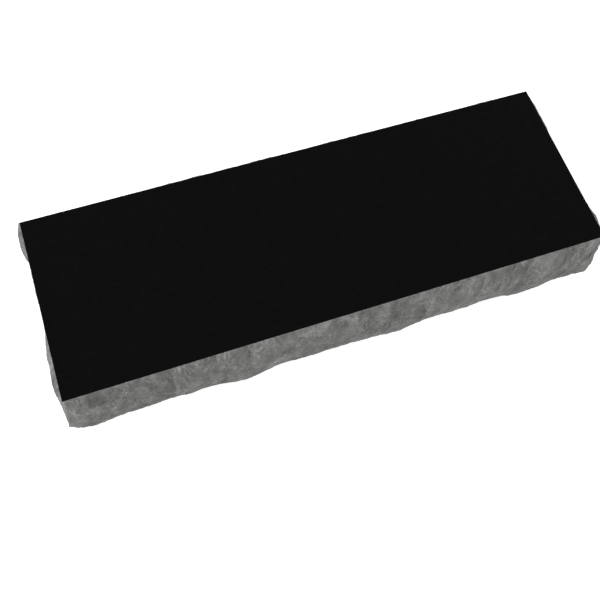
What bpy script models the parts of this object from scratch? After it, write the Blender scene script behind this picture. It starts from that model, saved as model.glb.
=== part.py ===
"""Bench slab of black granite for leather tooling, on four stick-on rubber feet.

The slab is one block: a polished working face with straight, sharp arrises, a sawn
underside, and four sides that were pitched (split off) with a broad chisel, so they
stand proud of the arrises in low swells. Its feet are moulded rubber bumpers.

Frame: origin on the bench under the middle of the slab, +X along its length to the
right, +Y to the back, +Z up. Units are metres.
"""

import math

import bmesh
import bpy
from mathutils import Vector, noise

# ---- driving dimensions ----------------------------------------------------------

FACE_LENGTH = 0.305  # polished face, left to right
FACE_WIDTH = 0.102  # polished face, front to back
STONE_THICKNESS = 0.050  # sawn underside to polished face
LONG_PROUD = 0.007  # from an arris out to the fullest spot of the front or the back under it
END_PROUD = 0.0055  # and of the left or the right end

FOOT_DIAMETER = 0.019
FOOT_HEIGHT = 0.004
FOOT_DRAFT = 0.0006  # how much smaller the foot's radius is where it meets the bench
FOOT_EDGE_RADIUS = 0.0008
FOOT_INSET = 0.018  # from the arrises above to the foot's centre, both ways
GLUE_LINE = 0.0003  # adhesive film between a foot and the stone

# ---- the split sides -------------------------------------------------------------

COLUMN_PITCH = 0.005  # spacing of the side's mesh along an arris
ROWS = 11  # steps of the side's mesh from the upper arris to the lower one
BASE_FLARE = 0.0013  # how far the lower arris lies outside the upper one
SHOULDER_DROP = 0.0016  # a shoulder is nearly at its full width this far below the arris
STUN_PITCH = 0.086  # the chisel was set against the arris about this far apart
STUN_RISE = 0.030  # the stone swells over this length before each set of the chisel
STUN_FALL = 0.016  # and drops away over this length behind it
LIP_DEPTH = 0.85  # a lip has its full size this far down, as a share of the height
CORNER_REACH = 0.0040  # how far along a side its corner's own shape is felt
CORNER_CURVE = 1.4  # a corner's edge leans out more and more steeply, by this power of the depth
CORNER_BREAK = 0.010  # height of the broken foot of that edge
CORNER_LOSS = 0.5  # share of the lean that the break takes off
SCAR_SIZE = 0.021  # breadth of the shallow scars all over a split side
SCAR_DEPTH = 0.0008
SCAR_FADE = 0.12  # the scars fade in over this share of the height, below the arris
SCAR_ROUGHNESS = 0.9
SCAR_STEP = 2.1  # each finer layer of scars is smaller than the last by this ratio
SCAR_LAYERS = 3
SCAR_SHIFT = 7.3  # keeps the scars of one side from repeating on the next

# Each side faces outward along the way given, and runs anticlockwise, seen from above,
# from one corner of the face to the next. Two rows of (fraction of its length, size)
# describe it: its shoulder is how far it steps out right below the arris, and its swell
# how much more it bulges at half height. Its lips are the extra that the chisel left at
# the lower arris. Each of its two corners is a (step below the arris, lean, depth at
# which the lean is complete).
SIDES = {
    "front": {
        "facing": (0.0, -1.0),
        "shoulder": ((0.0, 0.0003), (0.4, 0.0006), (0.8, 0.0003), (1.0, 0.0004)),
        "swell": ((0.0, 0.0044), (0.9, 0.0046), (1.0, 0.0056)),
        "lip": 0.0017,
        "first_lip": 0.0130,
        "corners": ((0.0, 0.0027, 0.030), (0.0, 0.0052, 0.033)),
    },
    "right": {
        "facing": (1.0, 0.0),
        "shoulder": (
            (0.0, 0.0027),
            (0.14, 0.0029),
            (0.24, 0.0003),
            (0.66, 0.0003),
            (0.76, 0.0024),
            (1.0, 0.0022),
        ),
        "swell": ((0.0, 0.0022), (0.3, 0.0026), (0.62, 0.0032), (0.85, 0.0030), (1.0, 0.0026)),
        "lip": 0.0008,
        "first_lip": 0.0300,
        "corners": ((0.0, 0.0052, 0.030), (0.0, 0.0044, 0.042)),
    },
    "back": {
        "facing": (0.0, 1.0),
        "shoulder": ((0.0, 0.0002), (0.5, 0.0005), (1.0, 0.0002)),
        "swell": ((0.0, 0.0046), (0.35, 0.0036), (0.7, 0.0046), (1.0, 0.0040)),
        "lip": 0.0017,
        "first_lip": 0.0500,
        "corners": ((0.0, 0.0044, 0.042), (0.0013, 0.0030, 0.042)),
    },
    "left": {
        "facing": (-1.0, 0.0),
        "shoulder": (
            (0.0, 0.0020),
            (0.05, 0.0018),
            (0.15, 0.0),
            (0.58, 0.0),
            (0.78, 0.0013),
            (0.93, 0.0026),
            (1.0, 0.0026),
        ),
        "swell": (
            (0.0, 0.0032),
            (0.08, 0.0026),
            (0.18, 0.0012),
            (0.56, 0.0012),
            (0.76, 0.0020),
            (0.93, 0.0008),
            (1.0, 0.0),
        ),
        "lip": 0.0008,
        "first_lip": 0.0800,
        "corners": ((0.0014, 0.0027, 0.042), (0.0, 0.0052, 0.042)),
    },
}
SIDE_ORDER = tuple(SIDES)

# ---- colours ---------------------------------------------------------------------

GRANITE_COLOUR = (0.030, 0.030, 0.030, 1.0)
GRANITE_ROUGHNESS = 0.30
RUBBER_COLOUR = (0.012, 0.012, 0.012, 1.0)
RUBBER_ROUGHNESS = 0.75


def clear_scene():
    for thing in list(bpy.data.objects):
        bpy.data.objects.remove(thing, do_unlink=True)


def material(name, colour, roughness):
    """A non-metal finish of one colour."""
    made = bpy.data.materials.new(name)
    made.use_nodes = True
    shader = made.node_tree.nodes["Principled BSDF"]
    shader.inputs["Base Color"].default_value = colour
    shader.inputs["Roughness"].default_value = roughness
    shader.inputs["Metallic"].default_value = 0.0
    made.diffuse_color = colour
    return made


def ease(value):
    """From 0 to 1 with no corner at either end."""
    value = min(max(value, 0.0), 1.0)
    return value * value * (3.0 - 2.0 * value)


def eased_between(stations, place):
    """The value at a place between the two stations on either side of it."""
    for (low, low_value), (high, high_value) in zip(stations, stations[1:]):
        if place <= high:
            return low_value + (high_value - low_value) * ease((place - low) / (high - low))
    return stations[-1][1]


def side_length(name):
    return FACE_LENGTH if name in ("front", "back") else FACE_WIDTH


def lip_at(side, along):
    """How strongly the chisel's lip shows here, from 0 to 1: a slow rise and a quick fall."""
    past = (along - side["first_lip"]) % STUN_PITCH
    falling = 1.0 - ease(past / STUN_FALL)
    rising = ease((past - (STUN_PITCH - STUN_RISE)) / STUN_RISE)
    return max(falling, rising)


def corner_relief(corner, depth):
    """How far the edge between two sides stands out: it leans out, then breaks back at its foot."""
    step, lean, full_depth = corner
    broken = ease((depth - (STONE_THICKNESS - CORNER_BREAK)) / CORNER_BREAK)
    stepped = step * (1.0 - math.exp(-depth / SHOULDER_DROP))
    leaning = lean * min(depth / full_depth, 1.0) ** CORNER_CURVE
    return (stepped + leaning) * (1.0 - CORNER_LOSS * broken)


def raw_relief(name, along, depth):
    """How far a side stands out, this far down from the arris, before it is trimmed to its fullest."""
    side = SIDES[name]
    length = side_length(name)
    down = depth / STONE_THICKNESS
    below_arris = 1.0 - math.exp(-depth / SHOULDER_DROP)
    above_base = 1.0 - math.exp(-(STONE_THICKNESS - depth) / SHOULDER_DROP)
    shoulder = eased_between(side["shoulder"], along / length) * below_arris * above_base
    swell = eased_between(side["swell"], along / length) * 4.0 * down * (1.0 - down)
    lip = side["lip"] * lip_at(side, along) * ease(down / LIP_DEPTH)
    face = shoulder + swell + lip + BASE_FLARE * down
    from_corner = min(along, length - along)
    corner = side["corners"][0 if along < length / 2.0 else 1]
    nearness = math.exp(-((from_corner / CORNER_REACH) ** 2))
    spot = Vector((along / SCAR_SIZE, depth / SCAR_SIZE, SCAR_SHIFT * SIDE_ORDER.index(name)))
    scars = SCAR_DEPTH * noise.fractal(spot, SCAR_ROUGHNESS, SCAR_STEP, SCAR_LAYERS)
    shaped = face + (corner_relief(corner, depth) - face) * nearness
    return max(shaped + scars * ease(down / SCAR_FADE), 0.0)


def column_places(name):
    """Distances along the arris at which the side's mesh has a column, both corners among them."""
    count = round(side_length(name) / COLUMN_PITCH)
    return [side_length(name) * step / count for step in range(count + 1)]


def row_depths():
    """Distances down from the polished face, closer together near the two arrises."""
    return [STONE_THICKNESS * (1.0 - math.cos(math.pi * row / ROWS)) / 2.0 for row in range(ROWS + 1)]


def relief_of(name):
    """A side's relief, one list for each row, trimmed to how proud its fullest spot should be."""
    raw = []
    for depth in row_depths():
        raw.append([raw_relief(name, along, depth) for along in column_places(name)])
    proud = LONG_PROUD if name in ("front", "back") else END_PROUD
    trim = proud / max(max(row) for row in raw)
    return [[value * trim for value in row] for row in raw]


def outline_at(relief, row):
    """The block's outline in plan at one row, anticlockwise from its front left corner."""
    outline = []
    for order, name in enumerate(SIDE_ORDER):
        side_before = SIDE_ORDER[order - 1]
        side_after = SIDE_ORDER[(order + 1) % len(SIDE_ORDER)]
        length = side_length(name)
        start = -length / 2.0 - relief[side_before][row][-1]
        end = length / 2.0 + relief[side_after][row][0]
        arris_out = side_length(side_before) / 2.0
        facing = Vector(SIDES[name]["facing"])
        running = Vector((-facing.y, facing.x))
        for along, proud in zip(column_places(name)[:-1], relief[name][row]):
            across = start + (end - start) * along / length
            outline.append(running * across + facing * (arris_out + proud))
    return outline


def slab_mesh():
    """The block, with its sawn underside at z = 0."""
    relief = {name: relief_of(name) for name in SIDE_ORDER}
    built = bmesh.new()
    rings = []
    for row, depth in enumerate(row_depths()):
        height = STONE_THICKNESS - depth
        rings.append([built.verts.new((place.x, place.y, height)) for place in outline_at(relief, row)])
    for upper, lower in zip(rings, rings[1:]):
        for this in range(len(upper)):
            following = (this + 1) % len(upper)
            built.faces.new((upper[this], lower[this], lower[following], upper[following]))
    built.faces.new(rings[0])
    built.faces.new(reversed(rings[-1]))
    mesh = bpy.data.meshes.new("granite_slab")
    built.to_mesh(mesh)
    built.free()
    return mesh


def foot_mesh():
    """One bumper, standing on z = 0: a short, slightly tapered disc with a rounded lower edge."""
    built = bmesh.new()
    bmesh.ops.create_cone(
        built,
        cap_ends=True,
        segments=32,
        radius1=FOOT_DIAMETER / 2.0 - FOOT_DRAFT,
        radius2=FOOT_DIAMETER / 2.0,
        depth=FOOT_HEIGHT,
    )
    bmesh.ops.translate(built, verts=built.verts, vec=(0.0, 0.0, FOOT_HEIGHT / 2.0))
    lower_edge = []
    for edge in built.edges:
        if all(vert.co.z < FOOT_HEIGHT / 2.0 for vert in edge.verts):
            lower_edge.append(edge)
    bmesh.ops.bevel(built, geom=lower_edge, offset=FOOT_EDGE_RADIUS, segments=3, profile=0.5, affect="EDGES")
    mesh = bpy.data.meshes.new("rubber_foot")
    built.to_mesh(mesh)
    built.free()
    mesh.shade_smooth()
    mesh.set_sharp_from_angle(angle=math.radians(40.0))
    return mesh


def place_on(parent, name, mesh, finish, location):
    piece = bpy.data.objects.new(name, mesh)
    bpy.context.scene.collection.objects.link(piece)
    if not mesh.materials:
        mesh.materials.append(finish)
    piece.parent = parent
    piece.location = location
    return piece


clear_scene()
bench_point = bpy.data.objects.new("bench_point", None)
bpy.context.scene.collection.objects.link(bench_point)

granite = material("granite", GRANITE_COLOUR, GRANITE_ROUGHNESS)
rubber = material("foot_rubber", RUBBER_COLOUR, RUBBER_ROUGHNESS)

place_on(bench_point, "granite_slab", slab_mesh(), granite, (0.0, 0.0, FOOT_HEIGHT + GLUE_LINE))

bumper = foot_mesh()
for depth_word, front_or_back in (("front", -1.0), ("back", 1.0)):
    for hand_word, left_or_right in (("left", -1.0), ("right", 1.0)):
        spot = (
            left_or_right * (FACE_LENGTH / 2.0 - FOOT_INSET),
            front_or_back * (FACE_WIDTH / 2.0 - FOOT_INSET),
            0.0,
        )
        place_on(bench_point, f"foot_{depth_word}_{hand_word}", bumper, rubber, spot)
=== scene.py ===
import math

import bmesh
import bpy
import numpy as np
from mathutils import Matrix, Vector, noise


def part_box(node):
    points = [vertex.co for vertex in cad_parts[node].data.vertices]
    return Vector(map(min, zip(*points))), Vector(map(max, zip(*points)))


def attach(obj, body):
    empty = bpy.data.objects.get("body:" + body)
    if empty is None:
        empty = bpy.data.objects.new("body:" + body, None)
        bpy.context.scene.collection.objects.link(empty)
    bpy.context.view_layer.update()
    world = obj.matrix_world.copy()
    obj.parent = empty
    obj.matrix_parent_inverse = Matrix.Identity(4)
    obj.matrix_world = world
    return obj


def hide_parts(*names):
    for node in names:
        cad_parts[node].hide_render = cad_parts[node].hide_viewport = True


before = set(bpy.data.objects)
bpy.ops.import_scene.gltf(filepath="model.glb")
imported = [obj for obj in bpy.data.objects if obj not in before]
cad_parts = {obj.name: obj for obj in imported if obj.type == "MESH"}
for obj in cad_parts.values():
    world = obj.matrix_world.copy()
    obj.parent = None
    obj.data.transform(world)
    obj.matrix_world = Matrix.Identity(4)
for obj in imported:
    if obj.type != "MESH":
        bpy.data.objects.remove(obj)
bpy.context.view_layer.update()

# ---- the stone -------------------------------------------------------------------
# One block of black granite. Its underside is sawn, its working face is ground and
# polished to a straight, sharp arris, and its four sides are split off with a broad
# pitching chisel, which bruises the black crystals to a clouded grey.


class Wire:
    """What one socket of a material gives out. Sums written on wires add their nodes."""

    def __init__(self, socket):
        self.socket = socket

    def node(self, kind, settings, inputs, output=0):
        """Adds a node of this kind to the wire's material, and returns the wire out of it."""
        tree = self.socket.id_data
        added = tree.nodes.new(kind)
        for name, value in settings.items():
            setattr(added, name, value)
        for name, value in inputs.items():
            if isinstance(value, Wire):
                tree.links.new(value.socket, added.inputs[name])
            else:
                added.inputs[name].default_value = value
        return Wire(added.outputs[output])

    def maths(self, operation, *terms):
        """A Vector Math node where a term is a vector, and a Math node anywhere else."""
        on_vectors = any(isinstance(term, Wire) and term.socket.type == "VECTOR" for term in terms)
        kind = "ShaderNodeVectorMath" if on_vectors else "ShaderNodeMath"
        if on_vectors:
            terms = [(term, term, term) if isinstance(term, float) else term for term in terms]
        return self.node(kind, {"operation": operation}, dict(enumerate(terms)))

    def __add__(self, other):
        return self.maths("ADD", self, other)

    def __radd__(self, other):
        return self.maths("ADD", other, self)

    def __sub__(self, other):
        return self.maths("SUBTRACT", self, other)

    def __rsub__(self, other):
        return self.maths("SUBTRACT", other, self)

    def __mul__(self, other):
        return self.maths("MULTIPLY", self, other)

    def __rmul__(self, other):
        return self.maths("MULTIPLY", other, self)

    def __pow__(self, other):
        return self.maths("POWER", self, other)

    def __rpow__(self, other):
        return self.maths("POWER", other, self)

    def __abs__(self):
        return self.maths("ABSOLUTE", self)

    def clipped(self, low, high):
        """0 below low, 1 above high, and a straight run between."""
        inputs = {"Value": self, "From Min": low, "From Max": high}
        return self.node("ShaderNodeMapRange", {"clamp": True}, inputs)

    def blend(self, nothing, everything):
        """A colour between two, as this wire goes from 0 to 1."""
        # The node's sockets go by number, because it has one of each name for every type.
        factor, first_colour, second_colour, blended = 0, 6, 7, 2
        inputs = {factor: self, first_colour: nothing, second_colour: everything}
        return self.node("ShaderNodeMix", {"data_type": "RGBA"}, inputs, output=blended)


def finish_of(name):
    """A new material: its shader, and a wire of the place on the piece, in metres."""
    material = bpy.data.materials.new(name)
    material.use_nodes = True
    shader = material.node_tree.nodes["Principled BSDF"]
    place = Wire(shader.outputs["BSDF"]).node("ShaderNodeTexCoord", {}, {}, output="Object")
    return material, shader, place


def feed(shader, **wires):
    """Plugs wires into a shader, by the socket's name with _ for its spaces."""
    for name, wire in wires.items():
        shader.id_data.links.new(wire.socket, shader.inputs[name.replace("_", " ")])


def grey(shade, warmth=0.0):
    """A grey, with this share of its blue taken out."""
    return (shade, shade, shade * (1.0 - warmth), 1.0)


def cloud(place, size, detail=4.0, roughness=0.55, distortion=0.0):
    """Fractal noise from 0 to 1, in soft patches about as wide as size."""
    inputs = {"Vector": place, "Scale": 1.0 / size, "Detail": detail}
    inputs |= {"Roughness": roughness, "Distortion": distortion}
    return place.node("ShaderNodeTexNoise", {}, inputs)


def drifted(place, size, reach):
    """The place pushed about at random, so that what is drawn on it swirls."""
    inputs = {"Vector": place, "Scale": 1.0 / size, "Detail": 2.0, "Roughness": 0.5}
    tint = place.node("ShaderNodeTexNoise", {}, inputs, output="Color")
    push = tint.node("ShaderNodeVectorMath", {"operation": "SUBTRACT"}, {0: tint, 1: (0.5, 0.5, 0.5)})
    return place + push * (2.0 * reach)


def random_tone(place, size):
    """Interlocking grains of about this size, each with a tone of its own from 0 to 1."""
    inputs = {"Vector": place, "Scale": 1.0 / size}
    tint = place.node("ShaderNodeTexVoronoi", {"feature": "F1"}, inputs, output="Color")
    return tint.node("ShaderNodeSeparateColor", {}, {"Color": tint})


def relief_bump(height, drop):
    """A Bump node for a height from 0 to 1 that stands for this many metres."""
    return height.node("ShaderNodeBump", {}, {"Strength": 1.0, "Distance": drop, "Height": height})


granite_ior = 1.54
bruise_warmth = 0.038


def polished_face():
    """Near-black crystals under one mirror polish; some are a shade less black than the rest."""
    material, shader, place = finish_of("polished_granite")
    crystals = random_tone(place, size=0.0017)
    clouds = cloud(place, size=0.030, detail=3.0)
    paleness = (crystals.clipped(0.72, 1.0) * 0.6 + clouds * 0.4).clipped(0.0, 1.0)
    blackest = grey(0.0009)
    least_black = grey(0.0016)
    feed(shader, Base_Color=paleness.blend(blackest, least_black))
    feed(shader, Roughness=crystals * 0.03 + 0.05)
    shader.inputs["IOR"].default_value = granite_ior
    return material


def split_face():
    """Bruised, broken crystals: mid grey, clouded, with paler feathery arcs, and no shine."""
    material, shader, place = finish_of("split_granite")
    # The break runs down the side, so what is drawn on it is longer that way.
    squeeze_down = (1.0, 1.0, 0.38)
    pattern_start = (0.11, 0.05, 0.0)
    drawn_down = place * squeeze_down + pattern_start
    swept = drifted(drawn_down, size=0.0095, reach=0.0060)
    swept = drifted(swept, size=0.0030, reach=0.0012)
    clouds = cloud(swept, size=0.0068, detail=7.0, roughness=0.62).clipped(0.34, 0.70)
    flakes = random_tone(swept, size=0.0085)
    # An arc is a thin band where a curling noise of its own crosses its middle value.
    curl_start = (0.4, 0.2, 0.1)
    curl = cloud(drawn_down + curl_start, size=0.0062, detail=3.0, roughness=0.5, distortion=2.6)
    arc_sharpness = 16.0
    arcs = (1.0 - abs(curl - 0.5) * arc_sharpness).clipped(0.0, 1.0)
    arcs = arcs * cloud(place, size=0.011, detail=2.0).clipped(0.36, 0.58)
    grain = random_tone(place, size=0.0009)
    tone = (clouds * 0.38 + flakes * 0.17 + arcs * 0.30 + grain * 0.16) ** 1.25
    unbruised = grey(0.034, bruise_warmth)
    bruised = grey(0.261, bruise_warmth)
    feed(shader, Base_Color=tone.blend(unbruised, bruised))
    feed(shader, Roughness=grain * 0.18 + 0.74)
    broken_grain = cloud(place, size=0.0011, detail=4.0, roughness=0.7)
    feed(shader, Normal=relief_bump(broken_grain, drop=0.00030))
    shader.inputs["IOR"].default_value = granite_ior
    shader.inputs["Specular IOR Level"].default_value = 0.25
    return material


def sawn_face():
    """Dull dark grey, with the curved marks of a large circular blade."""
    material, shader, place = finish_of("sawn_granite")
    blade_centre = (-0.35, -0.62, 0.0)
    mark_width = 0.0031
    away = (place - blade_centre) * (1.0, 1.0, 0.0)
    radius = away.node("ShaderNodeVectorMath", {"operation": "LENGTH"}, {0: away}, output="Value")
    # The marks wander by almost a whole one, which is a full turn of the sine.
    wander = cloud(place, size=0.04, detail=2.0) * 6.0
    turns = radius * (2.0 * math.pi / mark_width) + wander
    marks = turns.maths("SINE", turns) * 0.5 + 0.5
    marks = marks * cloud(place, size=0.02, detail=3.0).clipped(0.25, 0.75)
    grain = random_tone(place, size=0.0011)
    tone = (marks * 0.45 + grain * 0.35 + cloud(place, size=0.012) * 0.3).clipped(0.0, 1.0)
    smooth_cut = grey(0.045, bruise_warmth)
    torn_cut = grey(0.110, bruise_warmth)
    feed(shader, Base_Color=tone.blend(smooth_cut, torn_cut))
    feed(shader, Roughness=grain * 0.15 + 0.55)
    feed(shader, Normal=relief_bump(marks * 0.6 + grain * 0.4, drop=0.00008))
    return material


def block_rings():
    """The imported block's outline at each height of its mesh, from the top down, as loops that
    start at the front left corner and run anticlockwise, and where their corners are."""
    same_place = 0.00002
    welded = bmesh.new()
    welded.from_mesh(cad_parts["granite_slab"].data)
    bmesh.ops.remove_doubles(welded, verts=welded.verts, dist=same_place)
    places = np.array([vert.co for vert in welded.verts])
    welded.free()
    rings = []
    for height in sorted(set(places[:, 2].round(5)), reverse=True):
        ring = places[abs(places[:, 2] - height) < same_place]
        ring = ring[np.argsort(np.arctan2(ring[:, 1], ring[:, 0]))]
        rings.append(np.roll(ring, -np.argmin(ring[:, 0] + ring[:, 1]), axis=0))
    corners = [0]
    for across, along in ((1, -1), (1, 1), (-1, 1)):
        corners.append(int(np.argmax(across * rings[1][:, 0] + along * rings[1][:, 1])))
    corners.append(len(rings[1]))
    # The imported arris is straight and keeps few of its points, so they are spaced out again.
    low, high = rings[0].min(axis=0), rings[0].max(axis=0)
    front_left, front_right = (low[0], low[1]), (high[0], low[1])
    back_right, back_left = (high[0], high[1]), (low[0], high[1])
    turns = (front_left, front_right, back_right, back_left, front_left)
    arris = []
    for start, end, first, last in zip(turns, turns[1:], corners, corners[1:]):
        arris.append(np.linspace((*start, high[2]), (*end, high[2]), last - first + 1)[:-1])
    rings[0] = np.concatenate(arris)
    return np.array(rings), corners


def smooth_through(knots, values, wanted):
    """A smooth curve through the values at the knots, read at the places wanted."""
    slopes = np.gradient(values, knots, axis=0)
    span = np.clip(np.searchsorted(knots, wanted, side="right") - 1, 0, len(knots) - 2)
    step = (knots[span + 1] - knots[span])[:, None, None]
    part = (wanted - knots[span])[:, None, None] / step
    low, high = values[span], values[span + 1]
    rise = part * part * (3.0 - 2.0 * part)
    into = part * (1.0 - part) ** 2 * step * slopes[span]
    out_of = part * part * (part - 1.0) * step * slopes[span + 1]
    return low + (high - low) * rise + into + out_of


def fine_block(fineness, row_step):
    """The block's sides on a fine grid, as rows by columns of places: this many columns to each
    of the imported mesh's, and rows this far apart, with two more close under the arris."""
    rings, corners = block_rings()
    closed = np.concatenate((rings, rings[:, :1]), axis=1)
    sides = []
    for start, end in zip(corners, corners[1:]):
        columns = np.arange(start, end + 1, dtype=float)
        wanted = np.linspace(start, end, (end - start) * fineness + 1)[:-1]
        side = smooth_through(columns, closed[:, start : end + 1].transpose(1, 0, 2), wanted)
        sides.append(side.transpose(1, 0, 2))
    loops = np.concatenate(sides, axis=1)
    depths = rings[0, 0, 2] - rings[:, 0, 2]
    wanted = np.linspace(0.0, depths[-1], round(depths[-1] / row_step) + 1)
    wanted = np.insert(wanted, 1, [row_step * 0.2, row_step * 0.5])
    return smooth_through(depths, loops, wanted), wanted


def outward(grid):
    """The unit normal of the sides at each place of the grid."""
    along = np.roll(grid, -1, axis=1) - np.roll(grid, 1, axis=1)
    down = np.gradient(grid, axis=0)
    normal = np.cross(down, along)
    return normal / np.linalg.norm(normal, axis=2, keepdims=True)


bowl_depth = 0.00060
chip_depth = 0.00055
rubble_depth = 0.00030
rubble_size = 0.0028
arris_band = 0.0025  # the relief grows to its full depth over this height below the arris
base_band = 0.0015  # near the sawn underside it shrinks, by its full depth over this height,
left_at_base = 0.25  # until this share of it is left at the lower arris


def scooped(spot, size, drift, drift_size):
    """Shallow bowls that meet in ridges: about -0.45 at a bowl's middle and 0.55 on a ridge.
    Their outlines wander by up to drift, in waves as long as drift_size."""
    wandered = spot + drift * noise.noise_vector(spot / drift_size)
    distances, _ = noise.voronoi(wandered / size)
    return min(distances[0], 1.0) - 0.45


def fracture(place, depth, height):
    """How far the broken surface stands off the block's broad shape here, in metres."""
    spot = Vector(place)
    # The bowls are longer down the side than along it.
    drawn_down = Vector((spot.x, spot.y, spot.z * 0.7))
    bowls = bowl_depth * scooped(drawn_down, size=0.013, drift=0.004, drift_size=0.012)
    chips = chip_depth * scooped(spot, size=0.0065, drift=0.002, drift_size=0.004)
    fractal_loss, finer_by, layers = 0.6, 2.1, 4
    rubble = rubble_depth * noise.fractal(spot / rubble_size, fractal_loss, finer_by, layers)
    below_arris = min(depth / arris_band, 1.0)
    above_base = min((height - depth) / base_band + left_at_base, 1.0)
    return (bowls + chips + rubble) * below_arris * above_base


def slab():
    """The whole block, with the fine relief on its sides and its two flat faces level."""
    grid, depths = fine_block(fineness=7, row_step=0.0007)
    normals = outward(grid)
    height = depths[-1]
    # The lower arris only moves level, so that the underside stays flat.
    for row, depth in enumerate(depths):
        for column in range(grid.shape[1]):
            push = normals[row, column] * fracture(grid[row, column], depth, height)
            if depth == height:
                push[2] = 0.0
            grid[row, column] += push
    rows, columns = grid.shape[:2]
    polished, split, sawn = range(3)
    built = bmesh.new()
    verts = [built.verts.new(place) for place in grid.reshape(-1, 3)]
    for row in range(rows - 1):
        upper = verts[row * columns : (row + 1) * columns]
        lower = verts[(row + 1) * columns : (row + 2) * columns]
        for this in range(columns):
            beside = (this + 1) % columns
            face = built.faces.new((upper[this], lower[this], lower[beside], upper[beside]))
            face.material_index = split
            face.smooth = True
    top = built.faces.new(verts[:columns])
    top.material_index = polished
    under = built.faces.new(verts[-columns:][::-1])
    under.material_index = sawn
    for face in (top, under):
        for edge in face.edges:
            edge.smooth = False
    mesh = bpy.data.meshes.new("slab")
    built.to_mesh(mesh)
    built.free()
    for material in (polished_face(), split_face(), sawn_face()):
        mesh.materials.append(material)
    piece = bpy.data.objects.new("slab", mesh)
    bpy.context.scene.collection.objects.link(piece)
    return piece


noise.seed_set(4)  # without a seed the stone would break differently in each run
stone = slab()
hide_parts("granite_slab")
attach(stone, "root")

# ---- the feet --------------------------------------------------------------------
# Four moulded rubber bumpers, stuck to the underside near its corners by a film of clear
# adhesive. Each is a short tapered disc, rounded where it meets the bench, with a shallow
# dimple below.

sole_draft = 0.0006  # the sole's radius is this much smaller than the crown's
sole_round = 0.0008
crown_round = 0.0004
dimple_depth = 0.0005
# The dimple from its middle out, as shares of the foot's radius and of the dimple's depth.
dimple_curve = ((0.0, 1.0), (0.28, 1.0), (0.36, 0.7), (0.42, 0.1), (0.46, 0.0))
film_thickness = 0.00024
film_inset = 0.0009  # from the foot's rim in to the film's
film_clearance = 0.00002  # hairline between the film and the rubber
sharpest_smooth = math.radians(35.0)  # a sharper edge than this shows as an edge


def foot_rubber():
    """Black rubber as it comes out of a sand-blasted mould: matt, with a little bloom on it."""
    material, shader, place = finish_of("moulded_rubber")
    bloom = cloud(place, size=0.006, detail=4.0).clipped(0.35, 0.75)
    skin = cloud(place, size=0.0004, detail=2.0)
    clean = grey(0.009)
    bloomed = grey(0.026)
    feed(shader, Base_Color=(bloom * 0.7 + skin * 0.3).blend(clean, bloomed))
    feed(shader, Roughness=bloom * 0.12 + 0.66)
    feed(shader, Normal=relief_bump(skin, drop=0.00003))
    return material


def adhesive_film():
    """Milky acrylic film, a little yellow, and glossier in patches."""
    material, shader, place = finish_of("adhesive_film")
    milk = cloud(place, size=0.0012, detail=3.0)
    clearer = (0.42, 0.41, 0.37, 1.0)
    milkier = (0.62, 0.61, 0.56, 1.0)
    feed(shader, Base_Color=milk.blend(clearer, milkier))
    feed(shader, Roughness=milk * 0.2 + 0.35)
    return material


def turned(built, profile, centre, segments=96):
    """Adds a closed turned body to the mesh, and returns its faces. The profile is a list of
    (radius, height) that starts and ends on the axis."""
    rings = []
    for radius, height in profile[1:-1]:
        ring = []
        for step in range(segments):
            angle = 2.0 * math.pi * step / segments
            rim = Vector((radius * math.cos(angle), radius * math.sin(angle), height))
            ring.append(built.verts.new(centre + rim))
        rings.append(ring)
    first = built.verts.new(centre + Vector((0.0, 0.0, profile[0][1])))
    last = built.verts.new(centre + Vector((0.0, 0.0, profile[-1][1])))
    faces = []
    for this in range(segments):
        beside = (this + 1) % segments
        faces.append(built.faces.new((first, rings[0][beside], rings[0][this])))
        for lower, upper in zip(rings, rings[1:]):
            faces.append(built.faces.new((lower[this], lower[beside], upper[beside], upper[this])))
        faces.append(built.faces.new((last, rings[-1][this], rings[-1][beside])))
    for face in faces:
        face.smooth = True
    return faces


def rounded(centre, radius, start, end, steps=5):
    """Points of a round about this centre, from one angle to another in degrees."""
    found = []
    for step in range(steps + 1):
        angle = math.radians(start + (end - start) * step / steps)
        found.append((centre[0] + radius * math.cos(angle), centre[1] + radius * math.sin(angle)))
    return found


def bumper_profile(crown, tall):
    """Half of a foot's outline, from the middle of its dimple round to the middle of its top."""
    profile = [(crown * out, dimple_depth * deep) for out, deep in dimple_curve]
    profile += rounded((crown - sole_draft - sole_round, sole_round), sole_round, -90.0, 0.0)
    profile += rounded((crown - crown_round, tall - crown_round), crown_round, 0.0, 90.0)
    return profile + [(0.0, tall)]


def film_profile(crown, tall):
    """Half of the adhesive film's outline, a flat disc just above the foot."""
    low = tall + film_clearance
    high = low + film_thickness
    return [(0.0, low), (crown - film_inset, low), (crown - film_inset, high), (0.0, high)]


rubber = foot_rubber()
film = adhesive_film()
for corner in ("front_left", "front_right", "back_left", "back_right"):
    low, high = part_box("foot_" + corner)
    middle = Vector(((low.x + high.x) / 2.0, (low.y + high.y) / 2.0, low.z))
    crown = (high.x - low.x) / 2.0
    tall = high.z - low.z
    built = bmesh.new()
    turned(built, bumper_profile(crown, tall), middle)
    for face in turned(built, film_profile(crown, tall), middle):
        face.material_index = 1  # the film, after the rubber
    mesh = bpy.data.meshes.new("bumper_" + corner)
    built.to_mesh(mesh)
    built.free()
    mesh.set_sharp_from_angle(angle=sharpest_smooth)
    mesh.materials.append(rubber)
    mesh.materials.append(film)
    bumper = bpy.data.objects.new("bumper_" + corner, mesh)
    bpy.context.scene.collection.objects.link(bumper)
    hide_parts("foot_" + corner)
    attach(bumper, "root")

# ---- the studio ------------------------------------------------------------------
# A backlit white bench top in a bright tent, with a black board over the slab and behind
# it for the polish to mirror, and two large soft lamps: a strong one high at the left and
# a weaker one at the back right.

bench_reach = 6.0


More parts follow.
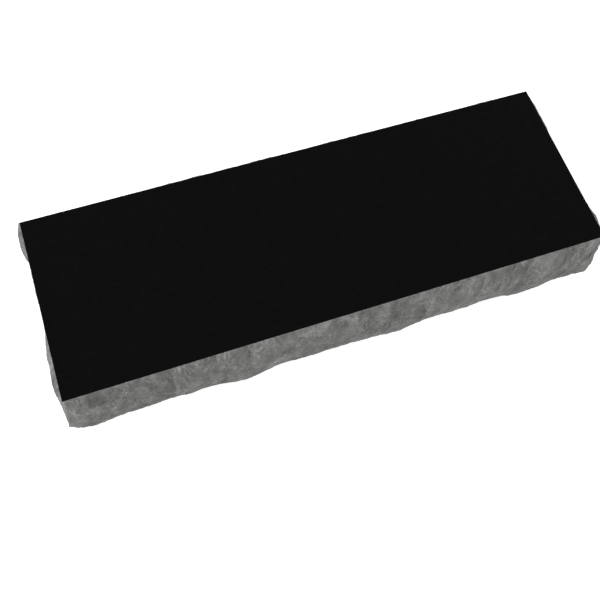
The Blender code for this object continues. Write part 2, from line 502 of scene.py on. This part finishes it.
def bench_paper():
    """Matt white paper with light behind it."""
    material, shader, place = finish_of("white_paper")
    feed(shader, Base_Color=cloud(place, size=0.5).blend(grey(0.38), grey(0.42)))
    shader.inputs["Roughness"].default_value = 0.9
    shader.inputs["Specular IOR Level"].default_value = 0.0
    shader.inputs["Emission Color"].default_value = grey(1.0)
    shader.inputs["Emission Strength"].default_value = 0.80
    return material


bench_corners = []
for right, back in ((-1, -1), (1, -1), (1, 1), (-1, 1)):
    bench_corners.append((right * bench_reach, back * bench_reach, 0.0))
bench_mesh = bpy.data.meshes.new("bench_top")
bench_mesh.from_pydata(bench_corners, [], [(0, 1, 2, 3)])
bench_mesh.materials.append(bench_paper())
bench_top = bpy.data.objects.new("bench_top", bench_mesh)
bpy.context.scene.collection.objects.link(bench_top)

tent = bpy.data.worlds.new("tent")
bpy.context.scene.world = tent
tent.use_nodes = True
tent_light = tent.node_tree.nodes["Background"]
way = Wire(tent_light.outputs["Background"]).node("ShaderNodeTexCoord", {}, {}, output="Generated")
across = way.node("ShaderNodeSeparateXYZ", {}, {0: way}, output="X")
inward = way.node("ShaderNodeSeparateXYZ", {}, {0: way}, output="Y")
climb = way.node("ShaderNodeSeparateXYZ", {}, {0: way}, output="Z")
# The tent is brighter at the left than at the right: a little low down, and more higher up.
low_light = 1.10 - across * 0.10
high_light = 1.22 - across * 0.35 + across * across * 0.30
open_tent = low_light + (high_light - low_light) * climb.clipped(0.24, 0.36)
# The board's lower edge and front edge are soft.
board = climb.clipped(0.29, 0.46) * inward.clipped(-0.30, 0.0)
board_light = 0.065
glow = open_tent + (board_light - open_tent) * board
tent.node_tree.links.new(glow.socket, tent_light.inputs["Color"])
tent_light.inputs["Strength"].default_value = 1.0

stone_middle = Vector((0.0, 0.0, 0.03))


def soft_lamp(name, place, power):
    """A round lamp half a metre across, aimed at the stone."""
    light = bpy.data.lights.new(name, "AREA")
    light.shape = "DISK"
    light.size = 0.5
    light.energy = power
    lamp = bpy.data.objects.new(name, light)
    bpy.context.scene.collection.objects.link(lamp)
    lamp.location = place
    lamp.rotation_euler = (stone_middle - Vector(place)).to_track_quat("-Z", "Y").to_euler()


soft_lamp("key", place=(-1.10, 0.15, 1.45), power=40.0)
soft_lamp("fill", place=(1.35, 0.90, 0.85), power=20.0)

# The camera stands at the front left, well above the slab, and is rolled a little.
lens = bpy.data.cameras.new("camera")
lens.sensor_width = 36.0
lens.lens = 45.0
lens.shift_x = 0.0267
lens.shift_y = -0.0289
camera = bpy.data.objects.new("camera", lens)
bpy.context.scene.collection.objects.link(camera)
bpy.context.scene.camera = camera
seen_from = Vector((-0.0997, -0.1585, 0.4209))
looked_at = Vector((-0.0286, -0.0239, 0.0543))
roll = math.radians(9.72)
level = (looked_at - seen_from).to_track_quat("-Z", "Y").to_matrix().to_4x4()
camera.matrix_world = Matrix.Translation(seen_from) @ level @ Matrix.Rotation(roll, 4, "Z")

bpy.context.scene.view_settings.view_transform = "Standard"
